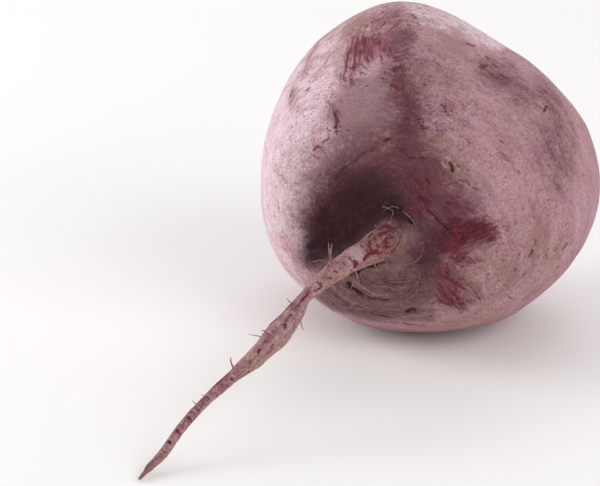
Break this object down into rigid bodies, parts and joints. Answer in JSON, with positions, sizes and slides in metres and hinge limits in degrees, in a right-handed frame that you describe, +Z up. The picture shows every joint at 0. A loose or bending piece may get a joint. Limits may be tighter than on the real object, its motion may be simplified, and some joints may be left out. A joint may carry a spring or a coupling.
{
  "type": "beetroot",
  "caption": "Whole raw beetroot lying on its side: a blunt lobed body with a long bent tap root and a trimmed crown of cut leaf stalks.",
  "frame": {"origin": "on the ground, in the middle of the flat spot that the body rests on, under its weight", "axes": "+Z up, away from the ground; the body's axis lies along Y, with the tap root towards -Y and the crown towards +Y"},
  "size_m": [0.0858, 0.1516, 0.0809],
  "materials": {
    "skin": "dry matt purple-red skin with a grey-pink bloom, dark scuffs and dried soil",
    "stalk": "dry cut leaf stalks, brown and fibrous at the cut",
    "rootlet": "dry pale fibre"
  },
  "bodies": {
    "root": {"beetroot": "skin"}
  },
  "joints": []
}
